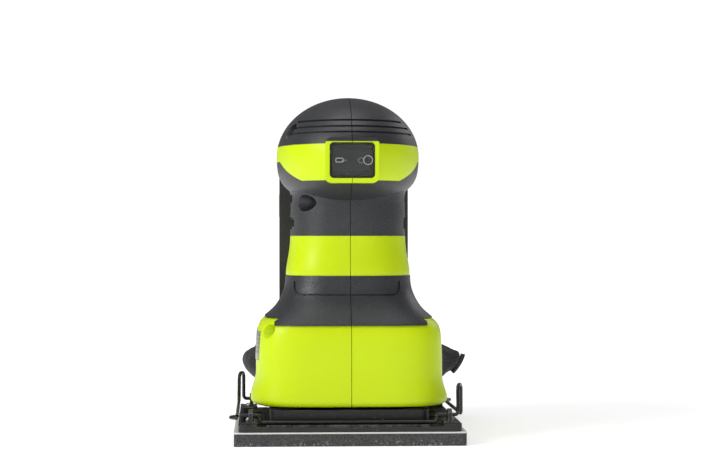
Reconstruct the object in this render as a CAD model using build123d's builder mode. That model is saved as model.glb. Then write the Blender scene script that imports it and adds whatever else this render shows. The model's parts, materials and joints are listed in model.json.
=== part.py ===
"""Cordless quarter-sheet orbital sander, in millimetres.

X runs to the right, Y to the rear and Z up. The origin is where the motor's axis meets
the underside of the foam pad. The platen's own centre is one eccentricity to the left.
"""
from build123d import *
import os
from math import cos, pi, sin

os.makedirs("parts", exist_ok=True)

# ---------------------------------------------------------------- driving dimensions
PAD_WIDTH = 111.6
PAD_LENGTH = 102.0
FOAM_THICKNESS = 6.0
BACKING_THICKNESS = 0.7
PLATEN_WIDTH = 107.4
PLATEN_LENGTH = 101.0
PLATEN_THICKNESS = 3.6
ECCENTRICITY = 0.8

GRIP_THICKNESS = 1.5      # soft overmould on the hard shell
SHELL_THICKNESS = 2.2     # hard shell under the overmould
LOWER_WALL = 2.6          # bare lime wall of the lower housing
RUNNING_GAP = 0.05
ASSEMBLY_GAP = 0.2
PARTING_GAP = 0.24        # fine dark line where the two halves of the housing meet

HOUSING_BOTTOM = 18.0
SKIRT_FRONT_EDGE = 57.1
SKIRT_SIDE_EDGE = 60.5
MID_BAND_BOTTOM = 81.0
MID_BAND_TOP = 100.6
HEAD_BAND_TOP = 145.0
HEAD_EQUATOR = 140.0
HEAD_BOTTOM = 116.0
HEAD_CENTRE_Y = -1.0
HEAD_HALF_WIDTH = 35.8
HEAD_NOSE = 49.0
HEAD_TAIL = 43.0
DOME_HEIGHT = 30.0

SWITCH_HEIGHT = 136.8
MOTOR_RADIUS = 20.0
MOTOR_BOTTOM = 52.0
MOTOR_TOP = 100.0
SHAFT_RADIUS = 2.5
JOURNAL_RADIUS = 4.0      # thicker lower end of the shaft
PORT_HEIGHT = 38.0
PORT_RADIUS = 9.0
PORT_BORE = 7.4
PORT_END = 58.0
SCREW_RADIUS = 1.5
WIRE_RADIUS = 0.9

PLATEN_Z = FOAM_THICKNESS + BACKING_THICKNESS
PLATEN_TOP = PLATEN_Z + PLATEN_THICKNESS
PLATEN_X = -ECCENTRICITY
WIDE = 120.0              # beyond the sander in any direction from its axis
OUTLINE_POINTS = 24
DOME_STEPS = 8
DOME_LAST_ANGLE = 0.94 * pi / 2

# Each station is (height, half width, reach to the front, reach to the rear, squareness).
LOWER_STATIONS = [
    (16.0, 43.0, 39.0, 41.0, 4.5),
    (HOUSING_BOTTOM, 46.6, 42.6, 44.6, 4.5),
    (20.2, 48.7, 44.3, 46.3, 4.5),
    (23.5, 48.2, 44.3, 46.3, 4.5),
    (28.5, 46.7, 44.1, 46.1, 4.5),
    (38.0, 46.2, 44.0, 46.0, 4.5),
    (49.0, 45.9, 43.8, 45.8, 4.4),
    (54.5, 45.3, 43.2, 45.2, 4.3),
    (58.4, 43.3, 41.7, 43.0, 4.2),
    (61.0, 40.4, 39.0, 40.2, 4.0),
]
SKIRT_STATIONS = [
    (55.0, 45.2, 43.9, 44.6, 4.2),
    (57.0, 44.6, 43.3, 44.0, 4.2),
    (60.4, 41.9, 40.7, 41.9, 4.0),
    (64.4, 37.4, 37.4, 39.8, 3.6),
    (68.3, 34.6, 35.0, 38.7, 3.3),
    (73.0, 32.5, 33.2, 38.2, 3.0),
    (MID_BAND_BOTTOM, 31.3, 31.9, 38.2, 2.8),
    (83.0, 30.6, 31.2, 37.6, 2.8),
]
NECK_STATIONS = [
    (79.0, 30.6, 31.1, 37.5, 2.8),
    (MID_BAND_BOTTOM, 31.0, 31.5, 38.0, 2.8),
    (91.0, 29.8, 30.7, 38.0, 2.7),
    (MID_BAND_TOP, 28.9, 30.0, 38.0, 2.6),
    (112.0, 28.8, 29.8, 37.6, 2.6),
    (123.4, 29.3, 30.2, 35.6, 2.6),
]
# (height, share of the head's size at its equator)
HEAD_UNDERSIDE = [
    (HEAD_BOTTOM, 0.50),
    (118.5, 0.62),
    (121.5, 0.755),
    (124.6, 0.865),
    (128.0, 0.94),
    (132.0, 0.98),
    (136.0, 0.995),
    (HEAD_EQUATOR, 1.0),
]

# (y, z, counterbore radius) of the housing screws, which go in from the left.
SCREWS = [
    (-21.0, 152.0, 4.0),
    (20.0, 152.0, 4.0),
    (-22.6, 116.8, 4.1),
    (31.0, 92.0, 3.8),
    (-34.6, 54.2, 3.4),
    (37.2, 54.2, 3.4),
]
SCREW_SEAT_X = -10.0
SCREW_TIP_X = 11.0
SCREW_HEAD_RADIUS = 2.9
SCREW_HEAD_HEIGHT = 2.2
POST_WALL = 1.5

# (low, high, bore) of the ledges inside the shell that hold the mount plate and the motor.
LEDGES = [(51.7, 53.5, 33.0), (64.0, 66.0, 20.2), (95.0, 97.0, 20.2)]

LEG_REACH = 31.0          # how far the flexible legs stand from the axis, in X and in Y
LEG_RADIUS = 4.2
LEG_BOTTOM = 11.5
LEG_TOP = 39.0
LEG_BOSS_RADIUS = 6.6
LEG_BOSS_BOTTOM = 26.0
LEG_BOSS_TOP = 40.5
LEG_SWING_GAP = 0.3

BEZEL_SIZE = (25.8, 21.8)
WINDOW_SIZE = (21.8, 17.2)
BEZEL_FRONT = -50.9
BEZEL_BACK = -33.0

# Ventilation slots on both sides of the neck: (middle y, middle z, length, height).
VENT_CUTS = [(5.0, 107.0, 38.0, 6.0), (5.0, 119.3, 30.0, 4.0)]
VENT_RIM = 1.1


def save(piece, name):
    """Labels a finished piece and writes it as one STEP file."""
    piece.label = name
    export_step(piece, f"parts/{name}.step")


# ---------------------------------------------------------------- forms that several pieces share
def outline(half_width, front, rear, power, centre_y=0.0):
    """Points of a closed superellipse whose front and rear reach differ."""
    points = []
    for step in range(OUTLINE_POINTS):
        angle = -pi / 2 + 2 * pi * step / OUTLINE_POINTS
        reach = front if sin(angle) < 0 else rear
        across = (abs(cos(angle)) / half_width) ** power
        along = (abs(sin(angle)) / reach) ** power
        radius = (across + along) ** (-1 / power)
        points.append((radius * cos(angle), centre_y + radius * sin(angle)))
    return points


def stack(stations, inset=0.0, centre_y=0.0):
    """Solid lofted through one superellipse at each station's height."""
    with BuildPart() as solid:
        for height, half_width, front, rear, power in stations:
            sizes = (half_width - inset, front - inset, rear - inset)
            with BuildSketch(Plane.XY.offset(height)):
                with BuildLine():
                    Spline(*outline(*sizes, power, centre_y), periodic=True)
                make_face()
        loft()
    return solid.part


def block(low, high):
    """Box between two opposite corners."""
    size = [high[i] - low[i] for i in range(3)]
    centre = [(high[i] + low[i]) / 2 for i in range(3)]
    with BuildPart() as solid:
        with Locations(tuple(centre)):
            Box(*size)
    return solid.part


def head(inset=0.0):
    """Whole head, from its closed underside inside the neck to the top of the dome."""
    depth = HEAD_EQUATOR - HEAD_BOTTOM
    levels = []
    for height, share in HEAD_UNDERSIDE:
        inner_height = HEAD_EQUATOR - (HEAD_EQUATOR - height) * (depth - inset) / depth
        levels.append((inner_height, share))
    for step in range(1, DOME_STEPS + 1):
        angle = DOME_LAST_ANGLE * step / DOME_STEPS
        levels.append((HEAD_EQUATOR + (DOME_HEIGHT - inset) * sin(angle), cos(angle)))
    stations = []
    for height, share in levels:
        half_width = (HEAD_HALF_WIDTH - inset) * share
        stations.append((height, half_width, (HEAD_NOSE - inset) * share,
                         (HEAD_TAIL - inset) * share, 2.0))
    return stack(stations, 0, HEAD_CENTRE_Y)


def slab(low, high):
    """Horizontal slice of space between two heights."""
    return block((-WIDE, -WIDE, low), (WIDE, WIDE, high))


def side_region(*points):
    """Space whose outline is seen from the side: points are (y, z)."""
    with BuildPart() as solid:
        with BuildSketch(Plane.YZ):
            with BuildLine():
                Polyline(*points, close=True)
            make_face()
        extrude(amount=WIDE, both=True)
    return solid.part


def tube(inner, outer, low, high, x=0.0, y=0.0):
    """Upright ring about the axis at (x, y), or a disc when inner is 0."""
    with BuildPart() as solid:
        with BuildSketch(Plane.XY.offset(low)):
            with Locations((x, y)):
                Circle(outer)
                if inner:
                    Circle(inner, mode=Mode.SUBTRACT)
        extrude(amount=high - low)
    return solid.part


def rod_x(radius, start, end, y, z):
    """Cylinder along X."""
    with BuildPart() as solid:
        with BuildSketch(Plane.YZ.offset(start)):
            with Locations((y, z)):
                Circle(radius)
        extrude(amount=end - start)
    return solid.part


def rod_y(radius, start, end, x, z):
    """Cylinder along Y."""
    with BuildPart() as solid:
        with BuildSketch(Plane.XZ.offset(-start)):
            with Locations((x, z)):
                Circle(radius)
        extrude(amount=start - end)
    return solid.part


def front_prism(size, radius, centre_z, front, back):
    """Rounded rectangle seen from the front, from y = front to y = back."""
    with BuildPart() as solid:
        with BuildSketch(Plane.XZ.offset(-back)):
            with Locations((0, centre_z)):
                RectangleRounded(*size, radius)
        extrude(amount=back - front)
    return solid.part


def vent_prism(rim):
    """Rounded slots right across the neck, each smaller by the rim all round."""
    with BuildPart() as solid:
        with BuildSketch(Plane.YZ):
            for y, z, length, height in VENT_CUTS:
                with Locations((y, z)):
                    RectangleRounded(length - 2 * rim, height - 2 * rim, (height - 2 * rim) / 3)
        extrude(amount=WIDE, both=True)
    return solid.part


def parting_plane(side):
    """Plane that one half of the housing ends on: side is -1 for the left, 1 for the right."""
    return Plane.YZ.offset(side * PARTING_GAP / 2)


def screw_wells():
    """Wells that the housing screws' heads sit in, open to the left."""
    with BuildPart() as wells:
        for y, z, radius in SCREWS:
            add(rod_x(radius, -WIDE, SCREW_SEAT_X, y, z))
    return wells.part


# ---------------------------------------------------------------- zones and forms of the housing
LOWER = stack(LOWER_STATIONS)
SKIRT = stack(SKIRT_STATIONS)
NECK = stack(NECK_STATIONS)
HEAD = head()
BEZEL = front_prism(BEZEL_SIZE, 3.2, SWITCH_HEIGHT, BEZEL_FRONT, BEZEL_BACK)
WINDOW = front_prism(WINDOW_SIZE, 2.0, SWITCH_HEIGHT, -WIDE, BEZEL_BACK + 1)
WELLS = screw_wells()
DOCK_OPENING = block((-19.9, 6.0, 115.1), (19.9, WIDE, 142.9))
TONGUE = block((-37.2, -WIDE, SKIRT_FRONT_EDGE), (37.2, -34.6, SKIRT_SIDE_EDGE + 1))
BAND_EDGE = [(-WIDE, 127.4), (-33.0, 127.4), (-14.5, 137.4), (WIDE, 137.4)]
BAND_ZONE = side_region(*BAND_EDGE, (WIDE, HEAD_BAND_TOP), (-WIDE, HEAD_BAND_TOP))
NECK_ZONE = side_region(*BAND_EDGE, (WIDE, MID_BAND_TOP), (-WIDE, MID_BAND_TOP))

with BuildPart() as lime_lower_zone:
    add(slab(HOUSING_BOTTOM, SKIRT_SIDE_EDGE))
    add(TONGUE, mode=Mode.SUBTRACT)



def body(lower_inset, upper_inset):
    """The housing from its bottom to inside the head as one smooth form, inset from the outside."""
    stations = []
    for level, inset in (
        (LOWER_STATIONS[:-2], lower_inset),
        (SKIRT_STATIONS[2:-1], upper_inset),
        (NECK_STATIONS[2:], upper_inset),
    ):
        for height, half_width, front, rear, power in level:
            stations.append((height, half_width - inset, front - inset, rear - inset, power))
    with BuildPart() as form:
        add(stack(stations))
        add(head(upper_inset))
    return form.part


SHELL_OUTSIDE = body(GRIP_THICKNESS, GRIP_THICKNESS)
INNER_TRIM = body(LOWER_WALL / 2, GRIP_THICKNESS + SHELL_THICKNESS / 2)
CAVITY = body(LOWER_WALL, GRIP_THICKNESS + SHELL_THICKNESS)


# ---------------------------------------------------------------- hard shell, in two halves
def lime_skin(form, zone):
    """The part of one form that is bare lime plastic."""
    with BuildPart() as skin:
        add(form)
        add(zone, mode=Mode.INTERSECT)
    return skin.part


def inner_features():
    """Screw posts, leg sockets and bearing ledges, trimmed to the inside of the shell."""
    with BuildPart() as features:
        for low, high, bore in LEDGES:
            add(tube(bore, WIDE / 2, low, high))
        for y, z, radius in SCREWS:
            add(rod_x(radius + POST_WALL, -WIDE / 2, 0, y, z))
            add(rod_x(SCREW_RADIUS + 2.5, 0, WIDE / 2, y, z))
        for x in (-LEG_REACH, LEG_REACH):
            for y in (-LEG_REACH, LEG_REACH):
                add(tube(0, LEG_BOSS_RADIUS, LEG_BOSS_BOTTOM, LEG_BOSS_TOP, x, y))
                corner = Location((x, y, 0)) * Rotation(0, 0, 45 if x * y > 0 else -45)
                rib = block((0, -1.5, LEG_BOSS_BOTTOM), (WIDE / 4, 1.5, LEG_BOSS_TOP))
                add(corner * Rotation(0, 0, 0 if x > 0 else 180) * rib)
        add(INNER_TRIM, mode=Mode.INTERSECT)
    return features.part


with BuildPart() as whole_shell:
    add(SHELL_OUTSIDE)
    add(lime_skin(LOWER, lime_lower_zone.part))
    add(lime_skin(NECK, slab(MID_BAND_BOTTOM, MID_BAND_TOP)))
    add(lime_skin(HEAD, BAND_ZONE))
    add(CAVITY, mode=Mode.SUBTRACT)
    add(slab(0, HOUSING_BOTTOM), mode=Mode.SUBTRACT)
    add(BEZEL)
    add(WINDOW, mode=Mode.SUBTRACT)
    add(inner_features())
    add(vent_prism(VENT_RIM), mode=Mode.SUBTRACT)
    add(DOCK_OPENING, mode=Mode.SUBTRACT)
    add(rod_y(PORT_RADIUS + ASSEMBLY_GAP, 30, WIDE, 0, PORT_HEIGHT), mode=Mode.SUBTRACT)


def shell_half(side):
    """One half of the shell: side is -1 for the left, 1 for the right."""
    with BuildPart() as half:
        add(whole_shell.part)
        split(bisect_by=parting_plane(side), keep=Keep.TOP if side > 0 else Keep.BOTTOM)
        for y, z, _ in SCREWS:
            if side > 0:
                add(rod_x(SCREW_RADIUS, -1, SCREW_TIP_X + 1, y, z), mode=Mode.SUBTRACT)
            else:
                bore = SCREW_RADIUS + ASSEMBLY_GAP
                add(rod_x(bore, SCREW_SEAT_X - 1, 1, y, z), mode=Mode.SUBTRACT)
        for y in (-LEG_REACH, LEG_REACH):
            add(tube(0, LEG_RADIUS, 20.0, LEG_TOP, side * LEG_REACH, y), mode=Mode.SUBTRACT)
        if side < 0:
            add(WELLS, mode=Mode.SUBTRACT)
    return half.part


def dome_grooves():
    """Three shallow grip grooves across the front of the dome."""
    with BuildPart() as grooves:
        for height, reach in ((156.6, 25.4), (153.5, 28.8), (150.6, 30.4)):
            add(block((-reach, -WIDE, height - 0.45), (reach, -4, height + 0.45)))
        add(head(0.7), mode=Mode.SUBTRACT)
    return grooves.part


def skirt_panel_line():
    """Fine line round the raised panel on the front of the skirt."""
    with BuildPart() as line:
        with BuildSketch(Plane.XZ.offset(15)):
            with Locations((-1.5, 81.4)):
                RectangleRounded(52.0, 20.0, 4.0)
                RectangleRounded(50.4, 18.4, 3.2, mode=Mode.SUBTRACT)
        extrude(amount=40)
        add(slab(0, 78.6), mode=Mode.INTERSECT)
        add(stack(SKIRT_STATIONS, 0.6), mode=Mode.SUBTRACT)
    return line.part


def overmould(forms, zone, cuts):
    """Soft skin over one zone of the shell, on both sides, with its cuts."""
    with BuildPart() as skin:
        for form in forms:
            add(form)
        add(zone, mode=Mode.INTERSECT)
        add(SHELL_OUTSIDE, mode=Mode.SUBTRACT)
        for cut in cuts:
            add(cut, mode=Mode.SUBTRACT)
    return skin.part


def overmould_half(skin, side):
    """One side of a skin, with the screw wells through it on the left."""
    with BuildPart() as half:
        add(skin)
        split(bisect_by=parting_plane(side), keep=Keep.TOP if side > 0 else Keep.BOTTOM)
        if side < 0:
            add(WELLS, mode=Mode.SUBTRACT)
    return half.part


dome_skin = overmould([HEAD], slab(HEAD_BAND_TOP, 2 * WIDE), [BEZEL, dome_grooves()])
neck_skin = overmould([NECK, HEAD], NECK_ZONE, [BEZEL, vent_prism(0), DOCK_OPENING])
skirt_skin = overmould(
    [SKIRT], slab(0, MID_BAND_BOTTOM), [lime_lower_zone.part, skirt_panel_line()]
)
for side, side_name in ((-1, "left"), (1, "right")):
    save(shell_half(side), f"{side_name}_housing")
    save(overmould_half(dome_skin, side), f"{side_name}_dome_grip")
    save(overmould_half(neck_skin, side), f"{side_name}_neck_grip")
    save(overmould_half(skirt_skin, side), f"{side_name}_skirt_grip")


# ---------------------------------------------------------------- fasteners and small housing parts
def screw(y, z):
    """One housing screw along X, with a cross-free hexagon socket in its head."""
    with BuildPart() as body:
        add(rod_x(SCREW_RADIUS, SCREW_SEAT_X, SCREW_TIP_X, y, z))
        add(rod_x(SCREW_HEAD_RADIUS, SCREW_SEAT_X - SCREW_HEAD_HEIGHT, SCREW_SEAT_X, y, z))
        with BuildSketch(Plane.YZ.offset(SCREW_SEAT_X - SCREW_HEAD_HEIGHT)):
            with Locations((y, z)):
                RegularPolygon(1.5, 6)
        extrude(amount=1.4, mode=Mode.SUBTRACT)
    return body.part


with BuildPart() as housing_screws:
    for y, z, _ in SCREWS:
        add(screw(y, z))
save(housing_screws.part, "housing_screws")

LABEL_THICKNESS = 0.25
with BuildPart() as rating_label:
    add(stack(LOWER_STATIONS, -LABEL_THICKNESS))
    add(block((-WIDE, -28.0, 39.8), (0, 16.0, 53.8)), mode=Mode.INTERSECT)
    add(LOWER, mode=Mode.SUBTRACT)
save(rating_label.part, "rating_label")

# ---------------------------------------------------------------- switch behind its clear boot
BOOT_SIZE = (WINDOW_SIZE[0] - 2 * ASSEMBLY_GAP, WINDOW_SIZE[1] - 2 * ASSEMBLY_GAP)
BOOT_WALL = 1.0
BOOT_FRONT = -50.4
SWITCH_BODY = (19.0, 14.0)
SWITCH_FRONT = -42.0
ROCKER_SIZE = (17.2, 10.2)
ROCKER_PIVOT_Y = -44.0
ROCKER_REST_ANGLE = -5.0

with BuildPart() as switch_boot:
    add(front_prism(BOOT_SIZE, 1.8, SWITCH_HEIGHT, BOOT_FRONT, -40.0))
    inner = (BOOT_SIZE[0] - 2 * BOOT_WALL, BOOT_SIZE[1] - 2 * BOOT_WALL)
    add(front_prism(inner, 1.0, SWITCH_HEIGHT, BOOT_FRONT + BOOT_WALL, -39.0), mode=Mode.SUBTRACT)
save(switch_boot.part, "switch_boot")

with BuildPart() as switch_body:
    add(front_prism(SWITCH_BODY, 1.0, SWITCH_HEIGHT, SWITCH_FRONT, -28.0))
    for side in (-1, 1):
        z = SWITCH_HEIGHT + side * 6.2
        add(block((-2.5, -46.0, z - 0.7), (2.5, SWITCH_FRONT, z + 0.7)))
    for x in (-5.0, 0.0, 5.0):
        add(block((x - 0.4, -28.0, SWITCH_HEIGHT - 2.4), (x + 0.4, -22.4, SWITCH_HEIGHT + 2.4)))
save(switch_body.part, "switch_body")


def rocker():
    """Flat rocker with raised on and off marks, level with the switch's face."""
    with BuildPart() as plate:
        add(front_prism(ROCKER_SIZE, 1.2, SWITCH_HEIGHT, -47.2, -43.0))
        with BuildSketch(Plane.XZ.offset(47.2)):
            with Locations((-3.4, SWITCH_HEIGHT)):
                Rectangle(2.4, 0.7)
            with Locations((4.6, SWITCH_HEIGHT)):
                Circle(1.5)
                Circle(1.05, mode=Mode.SUBTRACT)
        extrude(amount=0.15)
    return plate.part


PIVOT = Location((0, ROCKER_PIVOT_Y, 0))
switch_rocker = PIVOT * Rotation(0, 0, ROCKER_REST_ANGLE) * PIVOT.inverse() * rocker()
save(switch_rocker, "switch_rocker")

# ---------------------------------------------------------------- motor, fan and dust duct
CAN_WALL = 1.6
BRUSH_HOLDER_TOP = 110.0
BUSHING_RADIUS = 4.5
MOTOR_BEARING = (JOURNAL_RADIUS, 6.0, 9.0, 11.0, 45.4, 51.4)    # radii from the inside out, heights
PLATEN_BEARING = (5.0, 7.5, 10.5, 13.0, 12.5, 20.5)
FAN_LOW = 32.0
FAN_HIGH = 44.5
FAN_RADIUS = 32.5
DUCT_RADIUS = 34.5
DUCT_WALL = 2.0
DUCT_LOW = 31.0
DUCT_HIGH = 48.8

with BuildPart() as motor_can:
    add(tube(0, MOTOR_RADIUS, MOTOR_BOTTOM, MOTOR_TOP))
    add(tube(0, MOTOR_RADIUS - CAN_WALL, MOTOR_BOTTOM + CAN_WALL, MOTOR_TOP), mode=Mode.SUBTRACT)
    add(tube(0, 6.0, MOTOR_BOTTOM, MOTOR_BOTTOM + CAN_WALL), mode=Mode.SUBTRACT)
save(motor_can.part, "motor_can")

with BuildPart() as motor_magnets:
    add(tube(16.6, MOTOR_RADIUS - CAN_WALL - RUNNING_GAP, 57.0, 92.0))
    add(block((-4.0, -WIDE, 50.0), (4.0, WIDE, 95.0)), mode=Mode.SUBTRACT)
save(motor_magnets.part, "motor_magnets")

with BuildPart() as brush_holder:
    add(tube(8.0, MOTOR_RADIUS, MOTOR_TOP, BRUSH_HOLDER_TOP))
    add(tube(BUSHING_RADIUS, 8.0, 107.0, BRUSH_HOLDER_TOP))
    add(block((-19.0, -2.6, 100.9), (19.0, 2.6, 105.1)), mode=Mode.SUBTRACT)
save(brush_holder.part, "brush_holder")

with BuildPart() as carbon_brushes:
    for side in (-1, 1):
        near, far = sorted((side * 6.15, side * 13.0))
        add(block((near, -2.5, 101.0), (far, 2.5, 105.0)))
save(carbon_brushes.part, "carbon_brushes")

with BuildPart() as brush_springs:
    for side in (-1, 1):
        for turn in range(5):
            with Locations(Plane.YZ.offset(side * (13.6 + turn * 1.05)) * Location((0, 103.0, 0))):
                Torus(1.5, 0.35)
save(brush_springs.part, "brush_springs")

with BuildPart() as shaft_bushing:
    add(tube(SHAFT_RADIUS + RUNNING_GAP, BUSHING_RADIUS, 107.0, 110.6))
save(shaft_bushing.part, "shaft_bushing")

with BuildPart() as motor_mount_plate:
    add(tube(0, 38.0, 49.2, 51.5))
    add(block((-WIDE, -28.0, 49.0), (WIDE, 28.0, 52.0)), mode=Mode.INTERSECT)
    add(tube(0, 13.0, 45.2, 51.9))
    add(tube(0, MOTOR_BEARING[3], MOTOR_BEARING[4], MOTOR_BEARING[5]), mode=Mode.SUBTRACT)
    add(tube(0, 7.0, 45.0, 52.0), mode=Mode.SUBTRACT)
save(motor_mount_plate.part, "motor_mount_plate")


def ball_ring(bearing, x, count=8):
    """Balls of a bearing as separate solids, a little smaller than the race's gap."""
    inner, outer, low, high = bearing[1], bearing[2], bearing[4], bearing[5]
    with BuildPart() as balls:
        with Locations((x, 0, (low + high) / 2)):
            with PolarLocations((inner + outer) / 2, count):
                Sphere((outer - inner) / 2 - RUNNING_GAP)
    return balls.part


for name, bearing, x in (("motor_bearing", MOTOR_BEARING, 0.0), ("platen_bearing", PLATEN_BEARING, PLATEN_X)):
    low, high = bearing[4], bearing[5]
    save(tube(bearing[0], bearing[1], low, high, x), f"{name}_inner_ring")
    save(tube(bearing[2], bearing[3], low, high, x), f"{name}_outer_ring")
    save(ball_ring(bearing, x), f"{name}_balls")

with BuildPart() as dust_duct:
    add(tube(DUCT_RADIUS, DUCT_RADIUS + DUCT_WALL, DUCT_LOW, DUCT_HIGH))
    add(tube(14.0, DUCT_RADIUS, DUCT_HIGH - DUCT_WALL, DUCT_HIGH))
    with BuildSketch(Plane.XZ.offset(-PORT_END)):
        with Locations((0, PORT_HEIGHT)):
            Circle(PORT_RADIUS)
    extrude(amount=PORT_END - 30)
    add(tube(0, DUCT_RADIUS, 20, DUCT_HIGH - DUCT_WALL), mode=Mode.SUBTRACT)
    add(tube(0, DUCT_RADIUS + DUCT_WALL, 20, DUCT_LOW), mode=Mode.SUBTRACT)
    add(rod_y(PORT_BORE, 25, PORT_END + 1, 0, PORT_HEIGHT), mode=Mode.SUBTRACT)
save(dust_duct.part, "dust_duct")

with BuildPart() as fan_inlet_plate:
    add(tube(20.0, DUCT_RADIUS + DUCT_WALL, DUCT_LOW - 1.6, DUCT_LOW))
save(fan_inlet_plate.part, "fan_inlet_plate")

with BuildPart() as flexible_legs:
    for x in (-LEG_REACH, LEG_REACH):
        for y in (-LEG_REACH, LEG_REACH):
            add(tube(0, LEG_RADIUS, LEG_BOTTOM, LEG_TOP, x, y))
save(flexible_legs.part, "flexible_legs")

# ---------------------------------------------------------------- rotor
ECCENTRIC_LOW = 21.6
ECCENTRIC_HIGH = 29.0
SHAFT_LOW = 23.0
SHAFT_STEP = 54.0

with BuildPart() as motor_shaft:
    add(tube(0, JOURNAL_RADIUS, SHAFT_LOW, SHAFT_STEP))
    add(tube(0, SHAFT_RADIUS, SHAFT_STEP, BRUSH_HOLDER_TOP))
save(motor_shaft.part, "motor_shaft")

with BuildPart() as armature:
    add(tube(SHAFT_RADIUS, 15.0, 60.0, 88.0))
    with BuildSketch(Plane.XY.offset(60.0)):
        with PolarLocations(13.0, 10):
            SlotOverall(5.0, 2.4)
    extrude(amount=28.0, mode=Mode.SUBTRACT)
save(armature.part, "armature")

with BuildPart() as armature_windings:
    for low, high in ((55.8, 59.95), (88.05, 92.4)):
        add(tube(SHAFT_RADIUS, 13.6, low, high))
save(armature_windings.part, "armature_windings")

with BuildPart() as commutator:
    add(tube(SHAFT_RADIUS, 6.0, 94.0, 106.0))
    with BuildSketch(Plane.XY.offset(94.0)):
        with PolarLocations(6.0, 10):
            Rectangle(1.2, 0.35)
    extrude(amount=12.0, mode=Mode.SUBTRACT)
save(commutator.part, "commutator")

with BuildPart() as dust_fan:
    add(tube(JOURNAL_RADIUS, 8.0, FAN_LOW, FAN_HIGH))
    add(tube(JOURNAL_RADIUS, FAN_RADIUS, FAN_HIGH - 2.0, FAN_HIGH))
    with BuildSketch(Plane.XY.offset(FAN_LOW)):
        with PolarLocations(20.0, 9):
            Rectangle(22.0, 1.6, rotation=25)
    extrude(amount=FAN_HIGH - FAN_LOW - 1.0)
save(dust_fan.part, "dust_fan")

with BuildPart() as eccentric_counterweight:
    with BuildSketch(Plane.XY.offset(22.4)):
        Circle(24.0)
        with Locations((-WIDE / 2, 0)):
            Rectangle(WIDE, WIDE, mode=Mode.SUBTRACT)
    extrude(amount=6.0)
    add(tube(0, 10.0, ECCENTRIC_LOW, ECCENTRIC_HIGH))
    add(tube(0, PLATEN_BEARING[0], PLATEN_BEARING[4], ECCENTRIC_LOW, PLATEN_X))
    add(tube(0, JOURNAL_RADIUS, SHAFT_LOW, ECCENTRIC_HIGH), mode=Mode.SUBTRACT)
    add(tube(0, 2.0, 10.0, 20.0, PLATEN_X), mode=Mode.SUBTRACT)
save(eccentric_counterweight.part, "eccentric_counterweight")

with BuildPart() as bearing_retainer_screw:
    add(tube(0, 2.0, 11.0, 20.0, PLATEN_X))
    add(tube(0, 7.0, 11.2, 12.45, PLATEN_X))
    add(tube(0, 3.6, 9.4, 11.2, PLATEN_X))
    with BuildSketch(Plane.XY.offset(9.4)):
        with Locations((PLATEN_X, 0)):
            RegularPolygon(1.8, 6)
    extrude(amount=1.2, mode=Mode.SUBTRACT)
save(bearing_retainer_screw.part, "bearing_retainer_screw")

# ---------------------------------------------------------------- platen and pad
DUST_HOLE_RADIUS = 3.5
# (half spacing in X, half spacing in Y) of the two rectangles of dust holes.
DUST_HOLE_SETS = [(43.5, 14.0), (14.0, 33.0)]
RIM_WIDTH = 77.0
RIM_LENGTH = 82.0
RIM_WALL = 2.0
RIM_TOP = 16.5
LEDGE_TOP = 9.2
LEDGE_REACH = 44.8
LEDGE_EDGE = 42.3          # the ledges that the sheet is pinched on start here in Y
BEARING_SEAT_RADIUS = 17.0
BEARING_SEAT_TOP = 21.0
SOCKET_RADIUS = 7.0        # sockets for the lower ends of the flexible legs
SOCKET_TOP = 17.0
CLAMP_Y = -46.5            # hinge line of the front lever
CLAMP_Z = 14.6
JAW_HINGE_Y = -42.5
JAW_LEFT = -40.0
JAW_RIGHT = 38.0
JAW_EDGE_Y = -50.3
JAW_LOW = 9.35
JAW_HIGH = 10.15
TOOTH_SIZE = 1.6
TOOTH_PITCH = 4.0
TOOTH_COUNT = 17


def pad_layer(width, length, corner, low, high):
    """Rounded rectangular layer of the pad with its dust holes."""
    with BuildPart() as layer:
        with BuildSketch(Plane.XY.offset(low)):
            with Locations((PLATEN_X, 0)):
                RectangleRounded(width, length, corner)
                for half_x, half_y in DUST_HOLE_SETS:
                    with GridLocations(2 * half_x, 2 * half_y, 2, 2):
                        Circle(DUST_HOLE_RADIUS, mode=Mode.SUBTRACT)
        extrude(amount=high - low)
    return layer.part


save(pad_layer(PAD_WIDTH, PAD_LENGTH, 1.5, 0, FOAM_THICKNESS), "foam_pad")
save(pad_layer(PAD_WIDTH, PAD_LENGTH, 1.5, FOAM_THICKNESS, PLATEN_Z), "pad_backing")

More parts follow.
